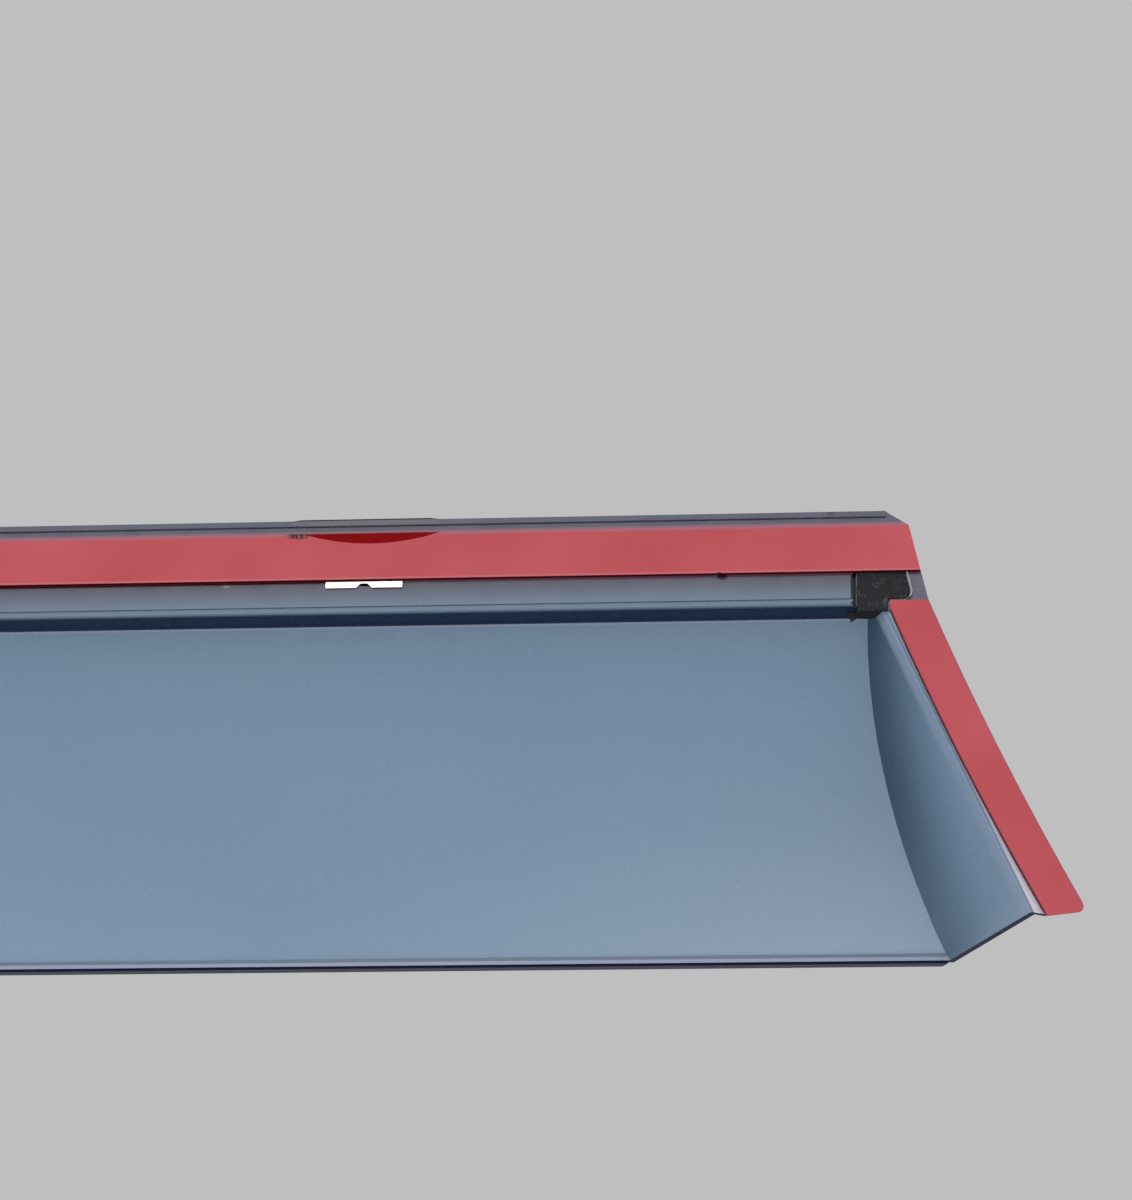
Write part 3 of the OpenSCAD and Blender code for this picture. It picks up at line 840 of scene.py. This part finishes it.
def tint_edges(bm, layers, settings):
    """Faces seen along the wall: undersides and the slots' walls with painted shade, the ribs with a painted
    highlight and shade at their foot, painted light under the rim's bead, and the rim's top.
    """
    # Painted shade on the undersides, with the dark look of acrylic seen along its wall
    paint(bm, layers, settings.edge_and_shade_tint, dull=1.0,
          wanted=lambda p, n: underside(n) and not Z_BAND < p.z < Z_GROOVE_HIGH)
    # Painted light on the underside of the bead on the rim
    paint(bm, layers, settings.rim_groove_lit_tint, dull=1.0, wanted=lambda p, n: n.z < -0.3 and p.z > Z_GLOW)
    # Painted shade on the undersides of the lip and of the cheeks
    paint(bm, layers, settings.lip_under_shade_tint, dull=1.0,
          wanted=lambda p, n: n.z < -0.55 and p.z < Z_LIP + MM)
    paint(bm, layers, settings.lip_under_shade_tint, dull=1.0,
          wanted=lambda p, n: p.z < Z_LIP and p.y > Y_NEAR_LIP)
    # Painted shade with a painted reflection on the underside of the bead outside the lip
    paint(bm, layers, settings.lip_edge_shade_tint, dull=1.0,
          wanted=lambda p, n: underside(n) and p.z < Z_LIP - 0.2 * MM and p.y > Y_NEAR_LIP)
    # Painted shade on the walls of the slot beside the foam
    paint(bm, layers, settings.nick_and_shade_tint, dull=1.0,
          wanted=lambda p, n: at_band(p) and Y_FLANGE < p.y < Y_SLOT
          and SLOT_X - SLOT_WIDTH < abs(p.x) < SLOT_X + 0.05 * MM)
    # Painted highlight on the rib round the foam, and painted shade at its foot
    paint(bm, layers, settings.rib_highlight_tint, wanted=on_rib_face)
    paint(bm, layers, settings.nick_and_shade_tint, share=0.8,
          wanted=lambda p, n: on_rib_face(p, n) and p.z < Z_RIB_LOW)
    # The rim's top, dark as acrylic seen along its wall
    paint(bm, layers, settings.edge_and_shade_tint, dull=1.0, wanted=lambda p, n: p.z > Z_RIM + CLOSE)
    # The seats' tops are painted nearly black
    paint(bm, layers, settings.nick_and_shade_tint, share=0.8, dull=1.0,
          wanted=lambda p, n: p.z > Z_RIM + CLOSE and SEAT_IN < abs(p.x) < SEAT_OUT)


class DEFLECTOR_OT_tapes(bpy.types.Operator):
    """Foam tapes on the top and side flanges"""

    bl_idname = "deflector.tapes"
    bl_label = "Foam tapes"

    def execute(self, context):
        settings = context.scene.deflector
        material = bonding_tape(settings)
        for node in ("top_tape", "side_tape_right", "side_tape_left"):
            bm = merged_copy(node)
            soften_edges(bm, FILM_ROUND)
            shade(bm)
            # Painted shade on the tape's cut sides
            paint(bm, tint_layers(bm), settings.tape_side_shade, wanted=lambda place, normal: not front(normal))
            finished_piece(bm, node + "_foam", material, node)
        return {"FINISHED"}


class DEFLECTOR_OT_films(bpy.types.Operator):
    """Release films on the tapes"""

    bl_idname = "deflector.films"
    bl_label = "Release films"

    def execute(self, context):
        settings = context.scene.deflector
        material = release_film(settings)
        for node in ("top_tape_liner", "side_liner_right", "side_liner_left"):
            bm = merged_copy(node)
            for height in (Z_FILM_EDGE, Z_FILM_BRIM):
                cut_at_height(bm, height, lambda place, normal: True)
            soften_edges(bm, FILM_ROUND)
            shade(bm)
            layers = tint_layers(bm)
            # Painted highlight along the film's lower edge, and a greyer upper brim
            paint(bm, layers, settings.film_edge_highlight,
                  wanted=lambda place, normal: Z_TAPE_LOW - MM < place.z < Z_FILM_EDGE)
            paint(bm, layers, settings.film_brim, wanted=lambda place, normal: place.z > Z_FILM_BRIM)
            finished_piece(bm, node + "_film", material, node)
        return {"FINISHED"}


class DEFLECTOR_OT_foam(bpy.types.Operator):
    """Foam blocks in the upper corners"""

    bl_idname = "deflector.foam"
    bl_label = "Corner foam"

    def execute(self, context):
        material = open_foam(context.scene.deflector)
        lumps = bpy.data.textures.new("foam_lumps", "CLOUDS")
        lumps.noise_scale = 1.5 * MM
        for node in ("corner_foam_right", "corner_foam_left"):
            bm = merged_copy(node)
            block = finished_piece(bm, node + "_block", material, node)
            block.modifiers.clear()
            cells = block.modifiers.new("even_mesh", "REMESH")
            cells.mode = "VOXEL"
            cells.voxel_size = 0.25 * MM
            cells.use_smooth_shade = True
            rough = block.modifiers.new("torn_skin", "DISPLACE")
            rough.texture = lumps
            rough.texture_coords = "LOCAL"
            rough.mid_level = 1.0
            rough.strength = 0.4 * MM
        return {"FINISHED"}


class DEFLECTOR_OT_clips(bpy.types.Operator):
    """Sheet metal clips behind the top flange"""

    bl_idname = "deflector.clips"
    bl_label = "Clips"

    def execute(self, context):
        material = stainless_sheet(context.scene.deflector)
        for node in ("clip_right", "clip_left"):
            bm = merged_copy(node)
            soften_edges(bm, CLIP_ROUND)
            shade(bm)
            finished_piece(bm, node + "_sheet", material, node)
        return {"FINISHED"}


class DEFLECTOR_OT_stage(bpy.types.Operator):
    """Camera, floor, backdrop and lamp"""

    bl_idname = "deflector.stage"
    bl_label = "Stage"

    def execute(self, context):
        settings = context.scene.deflector_stage
        place_camera(settings)
        lay_floor(settings)
        light_world(settings)
        hang_lamp(settings)
        context.scene.view_settings.view_transform = "Standard"
        return {"FINISHED"}


def place_camera(settings):
    """Camera that looks at the target from the azimuth, elevation and distance given."""
    data = bpy.data.cameras.new("studio_camera")
    data.lens = settings.lens
    data.clip_start = 0.05
    data.clip_end = 50
    camera = linked("studio_camera", data)
    a, e = settings.azimuth, settings.elevation
    back = Vector((math.sin(a) * math.cos(e), -math.cos(a) * math.cos(e), math.sin(e)))
    turn = back.to_track_quat("Z", "Y").to_matrix().to_4x4()
    camera.matrix_world = (Matrix.Translation(Vector(settings.target) + back * settings.distance)
                           @ turn @ Matrix.Rotation(settings.roll, 4, "Z"))
    bpy.context.scene.camera = camera


def lay_floor(settings):
    """Square floor of 40 m, far below the part."""
    bm = bmesh.new()
    bmesh.ops.create_grid(bm, x_segments=1, y_segments=1, size=20)
    bmesh.ops.translate(bm, verts=bm.verts, vec=(0, 0, CAD_LOW.z - settings.floor_drop))
    mesh = bpy.data.meshes.new("studio_floor")
    bm.to_mesh(mesh)
    bm.free()
    floor = linked("studio_floor", mesh)
    floor.data.materials.append(pale_floor(settings))


def light_world(settings):
    """Even light from all round; the camera, also through the acrylic, sees the backdrop's own grey."""
    world = bpy.data.worlds.new("studio_sky")
    world.use_nodes = True
    tree = world.node_tree
    tree.nodes.clear()
    path = add_node(tree, "ShaderNodeLightPath").outputs
    seen = calculated(tree, "MAXIMUM", path["Is Camera Ray"], path["Is Transmission Ray"])
    light = add_node(tree, "ShaderNodeBackground",
                     {"Color": (1, 1, 1, 1), "Strength": settings.sky}).outputs[0]
    backdrop = add_node(tree, "ShaderNodeBackground",
                        {"Color": linear(settings.background), "Strength": 1.0}).outputs[0]
    both = add_node(tree, "ShaderNodeMixShader", {0: seen, 1: light, 2: backdrop}).outputs[0]
    add_node(tree, "ShaderNodeOutputWorld", {"Surface": both})
    bpy.context.scene.world = world


def hang_lamp(settings):
    """A broad key lamp in front and above, turned to the right half of the part."""
    place, aim = Vector((-0.1, -1.6, 1.2)), Vector((0.1, 0, -0.04))
    data = bpy.data.lights.new("key_lamp", "AREA")
    data.shape = "DISK"
    data.size = 1.6
    data.energy = settings.key
    key = linked("key_lamp", data)
    key.location = place
    key.rotation_euler = (place - aim).to_track_quat("Z", "Y").to_euler()


class DEFLECTOR_PT_panel(bpy.types.Panel):
    """Lists the operators and settings"""

    bl_idname = "DEFLECTOR_PT_panel"
    bl_label = "Rain deflector"
    bl_space_type = "VIEW_3D"
    bl_region_type = "UI"
    bl_category = "Deflector"

    def draw(self, context):
        column = self.layout.column()
        for operator in OPERATORS:
            column.operator(operator.bl_idname)
        for group in (context.scene.deflector, context.scene.deflector_stage):
            for name in group.bl_rna.properties.keys():
                if name not in ("rna_type", "name"):
                    column.prop(group, name)


OPERATORS = (DEFLECTOR_OT_stage, DEFLECTOR_OT_hood, DEFLECTOR_OT_tapes, DEFLECTOR_OT_films,
             DEFLECTOR_OT_foam, DEFLECTOR_OT_clips)
CLASSES = (DeflectorSettings, StageSettings, *OPERATORS, DEFLECTOR_PT_panel)


def register():
    for cls in CLASSES:
        bpy.utils.register_class(cls)
    bpy.types.Scene.deflector = bpy.props.PointerProperty(type=DeflectorSettings)
    bpy.types.Scene.deflector_stage = bpy.props.PointerProperty(type=StageSettings)


def unregister():
    del bpy.types.Scene.deflector_stage
    del bpy.types.Scene.deflector
    for cls in reversed(CLASSES):
        bpy.utils.unregister_class(cls)


def main():
    register()
    bpy.ops.deflector.stage()
    bpy.ops.deflector.hood()
    bpy.ops.deflector.tapes()
    bpy.ops.deflector.films()
    bpy.ops.deflector.foam()
    bpy.ops.deflector.clips()


if __name__ == "__main__":
    main()
